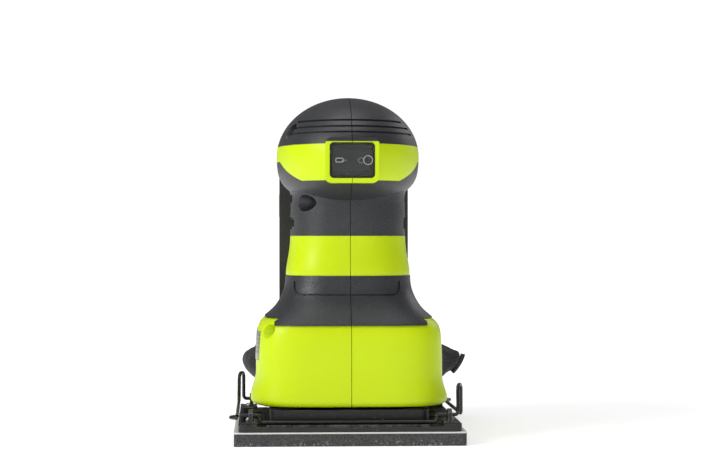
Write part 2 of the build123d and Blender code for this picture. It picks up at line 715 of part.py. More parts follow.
with BuildPart() as platen:
    add(pad_layer(PLATEN_WIDTH, PLATEN_LENGTH, 3.0, PLATEN_Z, PLATEN_TOP))
    with BuildSketch(Plane.XY.offset(PLATEN_TOP)):
        with Locations((PLATEN_X, 0)):
            RectangleRounded(RIM_WIDTH, RIM_LENGTH, 4.0)
            inner_width, inner_length = RIM_WIDTH - 2 * RIM_WALL, RIM_LENGTH - 2 * RIM_WALL
            RectangleRounded(inner_width, inner_length, 2.5, mode=Mode.SUBTRACT)
    extrude(amount=RIM_TOP - PLATEN_TOP)
    add(tube(0, BEARING_SEAT_RADIUS, PLATEN_TOP, BEARING_SEAT_TOP, PLATEN_X))
    for x in (-LEG_REACH, LEG_REACH):
        for y in (-LEG_REACH, LEG_REACH):
            add(tube(0, SOCKET_RADIUS, PLATEN_TOP, SOCKET_TOP, PLATEN_X + x, y))
            gap_radius = LEG_RADIUS + ECCENTRICITY + LEG_SWING_GAP
            add(tube(0, gap_radius, PLATEN_TOP, SOCKET_TOP + 1, PLATEN_X + x, y), mode=Mode.SUBTRACT)
    add(tube(0, PLATEN_BEARING[3], PLATEN_BEARING[4], 22.0, PLATEN_X), mode=Mode.SUBTRACT)
    add(tube(0, 9.0, 9.0, PLATEN_BEARING[4], PLATEN_X), mode=Mode.SUBTRACT)
    for side in (-1, 1):
        near, far = sorted((side * LEDGE_EDGE, side * PLATEN_LENGTH))
        low = (PLATEN_X - LEDGE_REACH, near, LEDGE_TOP)
        high = (PLATEN_X + LEDGE_REACH, far, PLATEN_TOP + 1)
        add(block(low, high), mode=Mode.SUBTRACT)
save(platen.part, "platen")


# ---------------------------------------------------------------- paper clamps
SHEET_METAL = 1.2
FOOT_LEFT = PLATEN_X - 52.6    # the foot of the front left bracket
FOOT_RIGHT = PLATEN_X - 45.0
FOOT_FRONT = -49.6
FOOT_BACK = -35.5
FOOT_TOP = PLATEN_TOP + 1.1
EAR_X = PLATEN_X - 48.8
EAR_THICKNESS = 2.0
EAR_TOP = 17.4
CATCH_FRONT = -41.4
CATCH_TOP = 19.3
RIVET_PLACE = (PLATEN_X - 49.4, -38.9, FOOT_TOP)
RIVET_RADIUS = 1.6


def bracket(with_catch):
    """Front left corner bracket: foot, pivot ear and, for one lever, a catch."""
    with BuildPart() as piece:
        add(block((FOOT_LEFT, FOOT_FRONT, PLATEN_TOP), (FOOT_RIGHT, FOOT_BACK, FOOT_TOP)))
        with BuildSketch(Plane.YZ.offset(EAR_X)):
            with BuildLine():
                front, crown = (FOOT_FRONT, EAR_TOP - 1.6), (FOOT_FRONT + 1.7, EAR_TOP)
                foot, back = (FOOT_FRONT, PLATEN_TOP), (CATCH_FRONT, PLATEN_TOP)
                Polyline(foot, front, crown, (CLAMP_Y + 1.9, EAR_TOP), back, close=True)
            make_face()
            with Locations((CLAMP_Y, CLAMP_Z)):
                Circle(WIRE_RADIUS + RUNNING_GAP, mode=Mode.SUBTRACT)
        extrude(amount=EAR_THICKNESS)
        if with_catch:
            side_high = (FOOT_LEFT + SHEET_METAL, FOOT_BACK, CATCH_TOP)
            add(block((FOOT_LEFT, CATCH_FRONT, PLATEN_TOP), side_high))
            back_low = (FOOT_LEFT, FOOT_BACK - SHEET_METAL, PLATEN_TOP)
            add(block(back_low, (FOOT_RIGHT - 1.4, FOOT_BACK, EAR_TOP + 0.2)))
    return piece.part


def rivet():
    """Domed rivet that holds the front left bracket down."""
    with BuildPart() as piece:
        with Locations(RIVET_PLACE):
            Sphere(RIVET_RADIUS)
        add(slab(FOOT_TOP, FOOT_TOP + 2 * RIVET_RADIUS), mode=Mode.INTERSECT)
    return piece.part


def lever():
    """Front lever: a bent wire that presses the jaw and runs back along the right side."""
    route = [
        (-52.5, CLAMP_Y, CLAMP_Z), (-43.5, CLAMP_Y, CLAMP_Z), (-43.5, CLAMP_Y, 11.1),
        (41.5, CLAMP_Y, 11.1), (41.5, CLAMP_Y, CLAMP_Z), (52.0, CLAMP_Y, CLAMP_Z),
        (52.0, -44.5, 28.6), (54.2, -38.0, 28.6), (54.4, -36.5, 14.2),
        (54.4, 40.0, 13.6), (57.6, 45.5, 13.6), (54.6, 50.0, 13.6),
    ]
    radii = [1.3, 1.5, 1.5, 1.3, 1.7, 3.0, 3.0, 2.6, 3.0, 1.6]
    points = [(PLATEN_X + x, y, z) for x, y, z in route]
    with BuildPart() as wire:
        with BuildLine() as path:
            FilletPolyline(*points, radius=radii)
        with BuildSketch(Plane(origin=points[0], z_dir=(1, 0, 0))):
            Circle(WIRE_RADIUS)
        sweep(path=path.wire(), transition=Transition.RIGHT)
    return wire.part


def jaw():
    """Front jaw: the strip that pinches the paper against the platen's ledge."""
    with BuildPart() as piece:
        low = (PLATEN_X + JAW_LEFT, JAW_EDGE_Y, JAW_LOW)
        add(block(low, (PLATEN_X + JAW_RIGHT, JAW_HINGE_Y, JAW_HIGH)))
        with BuildSketch(Plane.XY.offset(JAW_LOW - 0.05)):
            with Locations((PLATEN_X, JAW_EDGE_Y - 0.3)):
                with GridLocations(TOOTH_PITCH, 1.0, TOOTH_COUNT, 1):
                    Triangle(a=TOOTH_SIZE, b=TOOTH_SIZE, c=TOOTH_SIZE)
        extrude(amount=JAW_HIGH - JAW_LOW + 0.2, mode=Mode.SUBTRACT)
    return piece.part


HALF_TURN = Location((PLATEN_X, 0, 0)) * Rotation(0, 0, 180) * Location((-PLATEN_X, 0, 0))
FRONT_BRACKETS = [bracket(True), mirror(bracket(False), about=Plane.YZ.offset(PLATEN_X))]
RIVETS = [rivet(), mirror(rivet(), about=Plane.YZ.offset(PLATEN_X))]
with BuildPart() as clamp_brackets:
    for piece in FRONT_BRACKETS:
        add(piece)
        add(HALF_TURN * piece)
save(clamp_brackets.part, "clamp_brackets")
with BuildPart() as bracket_rivets:
    for piece in RIVETS:
        add(piece)
        add(HALF_TURN * piece)
save(bracket_rivets.part, "bracket_rivets")
front_lever = lever()
front_jaw = jaw()
save(HALF_TURN * front_lever, "rear_clamp_lever")
save(front_lever, "front_clamp_lever")
save(HALF_TURN * front_jaw, "rear_clamp_jaw")
save(front_jaw, "front_clamp_jaw")

# ---------------------------------------------------------------- battery dock and battery
DOCK_INNER = (17.6, 117.4, 140.6)      # half width, low and high of the socket
DOCK_WALL = 2.0
DOCK_FRONT = 10.0
FLANGE_WIDTH = 68.0
FLANGE_TOP = 142.0
TERMINAL_XS = (-8.0, 0.0, 8.0)
FLANGE_FRONT = 42.2
FLANGE_BACK = 45.0
PACK_FRONT = FLANGE_BACK + ASSEMBLY_GAP
PACK_BACK = 90.0
PACK_LOW = 60.0
PACK_HIGH = 141.0
PACK_HALF_WIDTH = 33.5
PACK_WALL = 2.0
PACK_SPLIT = 100.0
CELL_RADIUS = 9.0
LATCH_Z = 117.0
LATCH_Y = 62.0
BUTTON_WIDTH = 16.0
BUTTON_HEIGHT = 12.0
BUTTON_INNER = 31.0
BUTTON_OUTER = 33.9
STEM_GAP = 0.4
STEM_FRONT = 14.2
GROOVE_DEPTH = 0.9
GROOVE_WIDTH = 2.2
GRIP_LOW = 66.0
GRIP_PITCH = 5.0
GRIP_GROOVES = 6
# Shallow recesses in the pack's back face for the charge gauge and for a plain panel.
GAUGE_RECESS = ((-15.0, PACK_BACK - 0.8, 121.0), (15.0, PACK_BACK + 1, 130.0))
PANEL_RECESS = ((-23.0, PACK_BACK - 0.8, 67.0), (23.0, PACK_BACK + 1, 92.0))

with BuildPart() as battery_dock:
    half_width, low, high = DOCK_INNER
    outside = half_width + DOCK_WALL
    add(block((-outside, DOCK_FRONT, low - DOCK_WALL), (outside, FLANGE_FRONT + 1, high + DOCK_WALL)))
    with BuildSketch(Plane.XZ.offset(-FLANGE_BACK)):
        with Locations((0, (PACK_LOW + FLANGE_TOP) / 2)):
            RectangleRounded(FLANGE_WIDTH, FLANGE_TOP - PACK_LOW, 5.0)
    extrude(amount=FLANGE_BACK - FLANGE_FRONT)
    add(block((-half_width, DOCK_FRONT, low), (half_width, FLANGE_BACK + 1, high)), mode=Mode.SUBTRACT)
save(battery_dock.part, "battery_dock")

with BuildPart() as terminal_block:
    add(block((-17.4, DOCK_FRONT, 120.0), (17.4, 13.4, 138.0)))
    for x in TERMINAL_XS:
        add(block((x - 0.4, 13.4, 124.0), (x + 0.4, 22.0, 134.0)))
save(terminal_block.part, "terminal_block")

with BuildPart() as control_board:
    add(block((-15.0, -15.0, 112.2), (15.0, 8.0, 113.8)))
    add(tube(0, 3.2, 113.8, 118.4, -8.0, -6.0))
    add(block((2.0, -10.0, 113.8), (11.0, -5.0, 116.8)))
    add(block((3.0, 0.0, 113.8), (9.0, 5.0, 115.4)))
save(control_board.part, "control_board")


def pack_shell(low, high, is_upper):
    """The upper or lower half of the battery's hollow case."""
    with BuildPart() as shell:
        add(block((-PACK_HALF_WIDTH, PACK_FRONT, PACK_LOW), (PACK_HALF_WIDTH, PACK_BACK, PACK_HIGH)))
        fillet(shell.edges().filter_by(Axis.Y), radius=5.0)
        fillet(shell.faces().sort_by(Axis.Y)[-1].edges(), radius=3.0)
        inside = PACK_HALF_WIDTH - PACK_WALL
        corner = (inside, PACK_BACK - PACK_WALL, PACK_HIGH - PACK_WALL)
        add(block((-inside, PACK_FRONT + PACK_WALL, PACK_LOW + PACK_WALL), corner), mode=Mode.SUBTRACT)
        add(slab(low, high), mode=Mode.INTERSECT)
        if is_upper:
            half_width, stem_low, stem_high = DOCK_INNER
            stem_corner = (half_width - STEM_GAP, PACK_FRONT + 1, stem_high - STEM_GAP)
            add(block((-half_width + STEM_GAP, STEM_FRONT, stem_low + STEM_GAP), stem_corner))
            for x in TERMINAL_XS:
                slot_high = (x + 0.9, STEM_FRONT + 8.6, 134.6)
                add(block((x - 0.9, STEM_FRONT - 0.2, 123.4), slot_high), mode=Mode.SUBTRACT)
            with BuildSketch(Plane.YZ):
                with Locations((LATCH_Y, LATCH_Z)):
                    RectangleRounded(BUTTON_WIDTH + 0.4, BUTTON_HEIGHT + 0.4, 2.0)
            extrude(amount=WIDE, both=True, mode=Mode.SUBTRACT)
            add(block(GAUGE_RECESS[0], GAUGE_RECESS[1]), mode=Mode.SUBTRACT)
        else:
            add(block(PANEL_RECESS[0], PANEL_RECESS[1]), mode=Mode.SUBTRACT)
            for groove in range(GRIP_GROOVES):
                z = GRIP_LOW + groove * GRIP_PITCH
                for side in (-1, 1):
                    near, far = sorted((side * (PACK_HALF_WIDTH - GROOVE_DEPTH), side * WIDE))
                    add(block((near, 52.0, z), (far, 84.0, z + GROOVE_WIDTH)), mode=Mode.SUBTRACT)
    return shell.part


save(pack_shell(PACK_LOW, PACK_SPLIT - 0.1, False), "battery_case_lower")
save(pack_shell(PACK_SPLIT + 0.1, PACK_HIGH, True), "battery_case_upper")

with BuildPart() as battery_cells:
    for x, y in ((-20.0, 77.0), (0.0, 77.0), (20.0, 77.0), (-10.0, 58.0), (10.0, 58.0)):
        add(tube(0, CELL_RADIUS, 64.0, 129.0, x, y))
save(battery_cells.part, "battery_cells")


def latch(side):
    """One of the two buttons that release the battery."""
    with BuildPart() as button:
        with BuildSketch(Plane.YZ.offset(side * BUTTON_INNER)):
            with Locations((LATCH_Y, LATCH_Z)):
                RectangleRounded(BUTTON_WIDTH, BUTTON_HEIGHT, 1.8)
        extrude(amount=side * (BUTTON_OUTER - BUTTON_INNER))
        near, far = sorted((side * (BUTTON_INNER - 1.8), side * (BUTTON_INNER + 0.2)))
        half_width, half_height = BUTTON_WIDTH / 2 + 1.4, BUTTON_HEIGHT / 2 + 1.4
        low = (near, LATCH_Y - half_width, LATCH_Z - half_height)
        add(block(low, (far, LATCH_Y + half_width, LATCH_Z + half_height)))
    return button.part


save(latch(-1), "left_latch_button")
save(latch(1), "right_latch_button")

# ---------------------------------------------------------------- dust bag
COLLAR_START = 47.6
COLLAR_END = 60.0
COLLAR_RADIUS = 11.5
BAG_CENTRE_X = 6.7
BAG_CENTRE_Y = 86.0
BAG_STATIONS = [
    (14.0, 44.0, 14.0, 14.0, 2.6),
    (18.0, 54.0, 21.0, 21.0, 2.6),
    (25.0, 60.0, 24.5, 24.5, 2.6),
    (34.0, 60.5, 25.0, 25.0, 2.6),
    (41.0, 56.0, 23.0, 23.0, 2.6),
    (46.0, 44.0, 15.0, 15.0, 2.6),
]

with BuildPart() as dust_bag_collar:
    with BuildSketch(Plane.XZ.offset(-COLLAR_END)):
        with Locations((0, PORT_HEIGHT)):
            Circle(COLLAR_RADIUS)
    extrude(amount=COLLAR_END - COLLAR_START)
    with BuildSketch(Plane.XZ.offset(-COLLAR_END)):
        with Locations((0, PORT_HEIGHT - 3)):
            RectangleRounded(44.0, 20.0, 5.0)
    extrude(amount=2.0)
    add(rod_y(PORT_RADIUS + RUNNING_GAP + 0.03, 40, 70, 0, PORT_HEIGHT), mode=Mode.SUBTRACT)
save(dust_bag_collar.part, "dust_bag_collar")

with BuildPart() as bag_form:
    with Locations((BAG_CENTRE_X, BAG_CENTRE_Y, 0)):
        add(stack(BAG_STATIONS))
save(bag_form.part, "dust_bag_cloth")
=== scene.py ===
"""Finishes, dust bag, marks, light and camera for the cordless quarter-sheet sander.

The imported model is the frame. Lengths are metres in the part's own frame: +X to the right
seen from the front, +Y to the back, +Z up, and the sander stands on z = 0.
"""

import json
import math
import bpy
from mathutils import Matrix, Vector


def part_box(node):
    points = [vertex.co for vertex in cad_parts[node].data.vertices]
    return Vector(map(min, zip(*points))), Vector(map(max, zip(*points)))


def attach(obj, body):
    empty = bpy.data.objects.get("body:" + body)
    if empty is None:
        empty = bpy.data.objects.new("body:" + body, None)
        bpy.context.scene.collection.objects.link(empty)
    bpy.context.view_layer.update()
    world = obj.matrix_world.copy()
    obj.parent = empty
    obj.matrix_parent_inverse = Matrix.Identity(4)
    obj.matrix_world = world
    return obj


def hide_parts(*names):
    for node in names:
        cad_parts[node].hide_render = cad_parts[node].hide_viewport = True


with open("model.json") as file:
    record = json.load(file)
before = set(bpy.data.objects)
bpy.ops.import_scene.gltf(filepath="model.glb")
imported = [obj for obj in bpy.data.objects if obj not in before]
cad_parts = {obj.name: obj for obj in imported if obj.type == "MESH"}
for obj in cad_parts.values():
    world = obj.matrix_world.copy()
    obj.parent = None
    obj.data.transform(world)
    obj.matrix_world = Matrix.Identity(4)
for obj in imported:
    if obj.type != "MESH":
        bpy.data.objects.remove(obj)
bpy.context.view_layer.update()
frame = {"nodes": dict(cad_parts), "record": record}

from types import SimpleNamespace

import bmesh
import bpy
import numpy as np
from mathutils import Vector, noise
from mathutils.bvhtree import BVHTree

MM = 0.001


# ---------------------------------------------------------------- colours
def tone(red, green, blue):
    """The linear colour of an sRGB colour given in steps of 0 to 255."""

    def linear(step):
        share = step / 255
        return share / 12.92 if share <= 0.04045 else ((share + 0.055) / 1.055) ** 2.4

    return (linear(red), linear(green), linear(blue), 1.0)


def scaled(colour, factor):
    return tuple(min(1.0, c * factor) for c in colour[:3]) + (1.0,)


LIME = tone(208, 234, 0)
RUBBER = tone(44, 45, 49)
DARK_PLASTIC = tone(44, 46, 44)
INNER_PLASTIC = tone(40, 40, 41)
DUST = tone(188, 184, 172)
BARE_METAL = tone(176, 178, 180)
PRINT_GREY = tone(178, 181, 180)


# ---------------------------------------------------------------- materials
class Finish:
    """One procedural material, with short calls for the nodes that the finishes share."""

    def __init__(self, name, **constants):
        self.material = bpy.data.materials.new(name)
        self.material.use_nodes = True
        self.tree = self.material.node_tree
        self.shader = self.tree.nodes["Principled BSDF"]
        self.place = self.node("ShaderNodeTexCoord").outputs["Object"]
        for socket, value in constants.items():
            self.shader.inputs[socket.replace("_", " ")].default_value = value

    def node(self, kind, inputs=None, **settings):
        made = self.tree.nodes.new(kind)
        for name, value in settings.items():
            setattr(made, name, value)
        for socket, value in (inputs or {}).items():
            self.feed(made.inputs[socket], value)
        return made

    def feed(self, socket, value):
        if isinstance(value, bpy.types.NodeSocket):
            self.tree.links.new(value, socket)
        else:
            socket.default_value = value

    def set(self, socket, value):
        self.feed(self.shader.inputs[socket], value)

    def stretched(self, scale):
        return self.node("ShaderNodeMapping", {"Vector": self.place, "Scale": scale}).outputs[0]

    def noise(self, size, detail=2.0, place=None):
        """Noise whose features are about size across."""
        inputs = {"Vector": place or self.place, "Scale": 1 / size, "Detail": detail}
        return self.node("ShaderNodeTexNoise", inputs).outputs["Fac"]

    def cells(self, size, feature="F1"):
        inputs = {"Vector": self.place, "Scale": 1 / size}
        return self.node("ShaderNodeTexVoronoi", inputs, feature=feature).outputs["Distance"]

    def ramp(self, value, low, high, to_low=0.0, to_high=1.0):
        inputs = {"Value": value, "From Min": low, "From Max": high, "To Min": to_low, "To Max": to_high}
        return self.node("ShaderNodeMapRange", inputs).outputs["Result"]

    def mix(self, share, first, second):
        made = self.node("ShaderNodeMix", data_type="RGBA")
        self.feed(made.inputs[0], share)
        self.feed(made.inputs[6], first)
        self.feed(made.inputs[7], second)
        return made.outputs[2]

    def sum(self, operation, first, second=0.0):
        made = self.node("ShaderNodeMath", operation=operation)
        self.feed(made.inputs[0], first)
        self.feed(made.inputs[1], second)
        return made.outputs[0]

    def rounded(self, radius):
        """A normal that rounds the corners narrower than radius."""
        return self.node("ShaderNodeBevel", {"Radius": radius}, samples=4).outputs["Normal"]

    def edges(self, radius):
        """1 on sharp corners, 0 on open faces."""
        true_normal = self.node("ShaderNodeNewGeometry").outputs["Normal"]
        agreement = self.node("ShaderNodeVectorMath", operation="DOT_PRODUCT")
        self.feed(agreement.inputs[0], self.rounded(radius))
        self.feed(agreement.inputs[1], true_normal)
        return self.ramp(agreement.outputs["Value"], 0.995, 0.90)

    def bump(self, height, depth, normal=None):
        inputs = {"Height": height, "Distance": depth, "Strength": 1.0}
        if normal is not None:
            inputs["Normal"] = normal
        return self.node("ShaderNodeBump", inputs).outputs["Normal"]


def moulded(
    name,
    colour,
    roughness,
    grain_size=0.5 * MM,
    grain_depth=0.02 * MM,
    mottle=0.05,
    flecks=0.0,
    wear=0.0,
    wear_colour=DUST,
    corner=0.25 * MM,
    other=None,
    **constants,
):
    """A moulded, coated or plated surface: broad mottling, a fine grain, rounded corners, and flecks
    of dust and scuffed corners where asked for. other holds a mask function and the colour it brings."""
    finish = Finish(name, **constants)
    broad = finish.noise(24 * MM, 3.0)
    fine = finish.noise(grain_size, 2.0)
    surface = finish.mix(broad, scaled(colour, 1 - mottle), scaled(colour, 1 + mottle))
    surface = finish.mix(finish.ramp(fine, 0.45, 0.75, 0.0, 0.4), surface, scaled(colour, 1 + 3 * mottle))
    if other:
        mask, second_colour = other
        surface = finish.mix(mask(finish), surface, second_colour)
    if flecks:
        specks = finish.ramp(finish.noise(0.9 * MM, 1.0), 0.70, 0.78, 0.0, flecks)
        patches = finish.ramp(finish.noise(18 * MM), 0.42, 0.60)
        surface = finish.mix(finish.sum("MULTIPLY", specks, patches), surface, DUST)
    if wear:
        rubbed = finish.ramp(finish.noise(3.5 * MM, 3.0), 0.40, 0.62, 0.0, wear)
        surface = finish.mix(finish.sum("MULTIPLY", finish.edges(0.4 * MM), rubbed), surface, wear_colour)
    finish.set("Base Color", surface)
    finish.set("Roughness", finish.ramp(broad, 0.3, 0.7, roughness - 0.05, roughness + 0.05))
    finish.set("Normal", finish.bump(fine, grain_depth, finish.rounded(corner)))
    return finish.material


def brushed(name, colour, roughness, stretch=(1, 1, 14), **constants):
    """Machined or drawn metal, with fine marks along one axis and a slow change of polish."""
    finish = Finish(name, Metallic=1.0, **constants)
    marks = finish.noise(0.9 * MM, 2.0, finish.stretched(stretch))
    broad = finish.noise(12 * MM, 2.0)
    finish.set("Base Color", finish.mix(broad, scaled(colour, 0.86), scaled(colour, 1.1)))
    finish.set("Roughness", finish.ramp(marks, 0.3, 0.7, roughness - 0.08, roughness + 0.10))
    finish.set("Normal", finish.bump(marks, 0.01 * MM, finish.rounded(0.2 * MM)))
    return finish.material


def foam():
    """Closed-cell foam: dark pores, and pale grit caught in the cut faces near the floor."""
    finish = Finish("foam", Specular_IOR_Level=0.2)
    pores = finish.cells(0.9 * MM)
    broad = finish.noise(7 * MM, 4.0)
    surface = finish.mix(finish.ramp(pores, 0.15, 0.55), tone(56, 56, 57), tone(84, 84, 85))
    surface = finish.mix(finish.ramp(broad, 0.35, 0.7, 0.0, 0.45), surface, tone(68, 68, 69))
    height = finish.node("ShaderNodeSeparateXYZ", {"Vector": finish.place}).outputs["Z"]
    low_down = finish.ramp(height, 3.5 * MM, 0.6 * MM, 0.0, 0.8)
    grit = finish.ramp(finish.noise(1.6 * MM, 3.0), 0.58, 0.66)
    surface = finish.mix(finish.sum("MULTIPLY", low_down, grit), surface, tone(170, 170, 166))
    finish.set("Base Color", surface)
    finish.set("Roughness", finish.ramp(pores, 0.1, 0.6, 1.0, 0.86))
    finish.set("Normal", finish.bump(pores, 0.30 * MM, finish.rounded(0.4 * MM)))
    return finish.material


def woven(name, colour, pitch, thread_depth, fuzz):
    """Plain-weave cloth with threads of one pitch across both directions, slubs and a soft sheen."""
    finish = Finish(name, Sheen_Weight=fuzz, Sheen_Roughness=0.45, Specular_IOR_Level=0.25)
    along = finish.node("ShaderNodeSeparateXYZ", {"Vector": finish.place}).outputs
    girth = finish.sum("ADD", along["Y"], along["Z"])
    turns = 2 * math.pi / (2 * pitch)
    warp = finish.sum("SINE", finish.sum("MULTIPLY", along["X"], turns))
    weft = finish.sum("SINE", finish.sum("MULTIPLY", girth, turns))
    over = finish.sum("MULTIPLY", warp, weft)
    slub = finish.noise(2.2 * MM, 3.0, finish.stretched((0.25, 1, 1)))
    faded = finish.noise(16 * MM, 3.0)
    surface = finish.mix(finish.ramp(over, -1, 1), scaled(colour, 0.72), scaled(colour, 1.25))
    surface = finish.mix(finish.ramp(slub, 0.45, 0.75, 0.0, 0.5), surface, scaled(colour, 1.5))
    surface = finish.mix(finish.ramp(faded, 0.5, 0.75, 0.0, 0.35), surface, scaled(colour, 1.8))
    finish.set("Base Color", surface)
    finish.set("Roughness", finish.ramp(slub, 0.3, 0.7, 0.78, 0.95))
    height = finish.sum("ADD", over, finish.sum("MULTIPLY", slub, 1.5))
    finish.set("Normal", finish.bump(height, thread_depth))
    return finish.material


def label_film():
    """A grey printed label: rows of plain strokes with no lettering, and a pale lower panel."""
    finish = Finish("label_film", Coat_Weight=0.3, Coat_Roughness=0.25)
    parts = finish.node("ShaderNodeSeparateXYZ", {"Vector": finish.place}).outputs
    low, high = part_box("rating_label")
    row = 2.0 * MM
    rows = finish.sum("PINGPONG", parts["Z"], row / 2)
    in_row = finish.ramp(rows, row * 0.32, row * 0.37)
    strokes = finish.ramp(finish.noise(3.2 * MM, 1.0, finish.stretched((0, 1, 0.4))), 0.47, 0.50)
    print_mask = finish.sum("MULTIPLY", in_row, strokes)
    ground = finish.mix(finish.noise(9 * MM, 3.0), tone(96, 98, 98), tone(112, 114, 113))
    panel = finish.ramp(parts["Z"], low.z + (high.z - low.z) * 0.22, low.z + (high.z - low.z) * 0.20)
    ground = finish.mix(panel, ground, tone(150, 152, 150))
    finish.set("Base Color", finish.mix(finish.sum("MULTIPLY", print_mask, 0.6), ground, tone(190, 192, 190)))
    finish.set("Roughness", finish.ramp(print_mask, 0.0, 1.0, 0.42, 0.55))
    finish.set("Normal", finish.bump(print_mask, 0.02 * MM, finish.rounded(0.15 * MM)))
    return finish.material


def clear_cover():
    """The flexible see-through cover over the switch, smoky and slightly hazed."""
    finish = Finish("clear_plastic", Alpha=0.30, IOR=1.42, Coat_Weight=0.6, Coat_Roughness=0.12)
    haze = finish.noise(5 * MM, 3.0)
    finish.set("Base Color", finish.mix(haze, tone(62, 66, 64), tone(88, 92, 90)))
    finish.set("Roughness", finish.ramp(haze, 0.3, 0.7, 0.16, 0.30))
    finish.set("Normal", finish.bump(finish.noise(1.2 * MM), 0.02 * MM, finish.rounded(0.4 * MM)))
    return finish.material


def rocker():
    """Black rocker with its raised dash and ring picked out in grey. It rests turned about its pivot."""
    pivot_y, rest_turn = -44.0 * MM, math.radians(-5.0)
    face, marks = -3.25 * MM, -3.30 * MM

    def raised(finish):
        parts = finish.node("ShaderNodeSeparateXYZ", {"Vector": finish.place}).outputs
        behind = finish.sum("SUBTRACT", parts["Y"], pivot_y)
        squared = finish.sum("MULTIPLY", behind, math.cos(rest_turn))
        skewed = finish.sum("MULTIPLY", parts["X"], -math.sin(rest_turn))
        return finish.ramp(finish.sum("ADD", squared, skewed), face, marks)

    return moulded(
        "rocker_plastic", tone(34, 35, 35), 0.32, mottle=0.05, wear=0.6, wear_colour=PRINT_GREY,
        other=(raised, PRINT_GREY),
    )


def circuit_board():
    """Green glass-fibre board with copper runs under the lacquer."""
    finish = Finish("circuit_board", Coat_Weight=0.5, Coat_Roughness=0.2)
    runs = finish.ramp(finish.cells(2.2 * MM, "DISTANCE_TO_EDGE"), 0.06, 0.10)
    weave = finish.noise(0.5 * MM)
    ground = finish.mix(weave, tone(10, 62, 34), tone(20, 84, 46))
    finish.set("Base Color", finish.mix(runs, tone(46, 122, 66), ground))
    finish.set("Roughness", finish.ramp(weave, 0.3, 0.7, 0.35, 0.5))
    finish.set("Normal", finish.bump(runs, -0.03 * MM, finish.rounded(0.1 * MM)))
    return finish.material


def cell_sleeve():
    """Shrink sleeve of a battery cell, with a darker band and fine wrinkles."""
    finish = Finish("cell_can", Coat_Weight=0.4, Coat_Roughness=0.2)
    wrinkles = finish.noise(2 * MM, 3.0, finish.stretched((1, 1, 5)))
    finish.set("Base Color", finish.mix(wrinkles, tone(88, 130, 92), tone(120, 160, 118)))
    finish.set("Roughness", finish.ramp(wrinkles, 0.3, 0.7, 0.3, 0.45))
    finish.set("Normal", finish.bump(wrinkles, 0.05 * MM))
    return finish.material


def painted_shade_in_vents(finish):
    """Painted shade: 1 on the lime shell's walls inside the dome and inside the neck's front, the recesses
    behind the vents, which are coloured as dark as the grips so that the lime shell isn't seen there."""
    parts = finish.node("ShaderNodeSeparateXYZ", {"Vector": finish.place}).outputs
    dome = finish.ramp(parts["Z"], 145.6 * MM, 146.0 * MM)
    above_band = finish.ramp(parts["Z"], 101.2 * MM, 101.6 * MM)
    below_head = finish.ramp(parts["Z"], 123.6 * MM, 123.2 * MM)
    inward = finish.ramp(finish.sum("ABSOLUTE", parts["X"]), 29.6 * MM, 29.2 * MM)
    neck = finish.sum("MULTIPLY", finish.sum("MULTIPLY", above_band, below_head), inward)
    return finish.sum("MAXIMUM", dome, neck)


FINISHES = {
    "lime_plastic": moulded(
        # painted shade: the lime shell's walls in the recesses inside the dome and the neck's vents take the
        # rubber's dark colour
        "lime_plastic", LIME, 0.38, 0.45 * MM, 0.012 * MM, mottle=0.018, other=(painted_shade_in_vents, RUBBER),
        Specular_IOR_Level=0.35,
    ),
    "dark_rubber": moulded(
        "dark_rubber", RUBBER, 0.44, 0.95 * MM, 0.20 * MM, mottle=0.15, flecks=0.16, Specular_IOR_Level=0.6
    ),
    "dark_plastic": moulded(
        "dark_plastic", DARK_PLASTIC, 0.46, 0.5 * MM, 0.03 * MM, mottle=0.06, flecks=0.08, wear=0.25
    ),
    "inner_plastic": moulded("inner_plastic", INNER_PLASTIC, 0.5, mottle=0.05),
    "clear_plastic": clear_cover(),
    "rocker_plastic": rocker(),
    "label_film": label_film(),
    "steel": brushed("steel", tone(186, 188, 190), 0.28),
    "zinc_steel": brushed("zinc_steel", tone(168, 172, 172), 0.36, (1, 10, 1)),
    "black_wire": moulded(
        "black_wire", tone(36, 37, 37), 0.26, 1.2 * MM, 0.02 * MM, mottle=0.12, wear=0.5,
        wear_colour=BARE_METAL, Metallic=0.55, Coat_Weight=0.3,
    ),
    "black_steel": moulded(
        "black_steel", tone(38, 40, 38), 0.38, 0.8 * MM, 0.03 * MM, mottle=0.12, flecks=0.5, wear=0.8,
        wear_colour=BARE_METAL, Metallic=0.35,
    ),
    "magnet": moulded("magnet", tone(74, 74, 76), 0.6, 0.7 * MM, 0.05 * MM, mottle=0.1),
    "copper": brushed("copper", tone(214, 132, 84), 0.3, (8, 8, 1)),
    "bronze": brushed("bronze", tone(198, 156, 92), 0.42),
    "carbon": moulded("carbon", tone(36, 36, 38), 0.55, mottle=0.12),
    "platen_metal": moulded(
        "platen_metal", tone(38, 39, 38), 0.45, 0.6 * MM, 0.05 * MM, mottle=0.14, flecks=0.45, wear=0.7,
        wear_colour=tone(126, 127, 124), Metallic=0.2,
    ),
    "foam": foam(),
    "backing": moulded("backing", tone(226, 226, 223), 0.55, 0.6 * MM, 0.02 * MM, mottle=0.03),
    "leg_rubber": moulded("leg_rubber", tone(44, 44, 45), 0.6, 0.5 * MM, 0.04 * MM, mottle=0.08),
    "circuit_board": circuit_board(),
    "cell_can": cell_sleeve(),
    "bag_fabric": woven("bag_fabric", tone(44, 44, 47), 0.8 * MM, 0.16 * MM, 0.2),
}
BINDING_TAPE = woven("binding_tape", tone(56, 56, 58), 0.55 * MM, 0.12 * MM, 0.3)
STITCH_THREAD = woven("stitch_thread", tone(92, 92, 95), 0.25 * MM, 0.05 * MM, 0.2)
GAUGE_LENS = moulded("gauge_lens", tone(150, 176, 148), 0.25, mottle=0.06, Coat_Weight=0.5)
PRINTED_MARK = moulded("printed_mark", PRINT_GREY, 0.5, 0.3 * MM, 0.01 * MM, mottle=0.06)


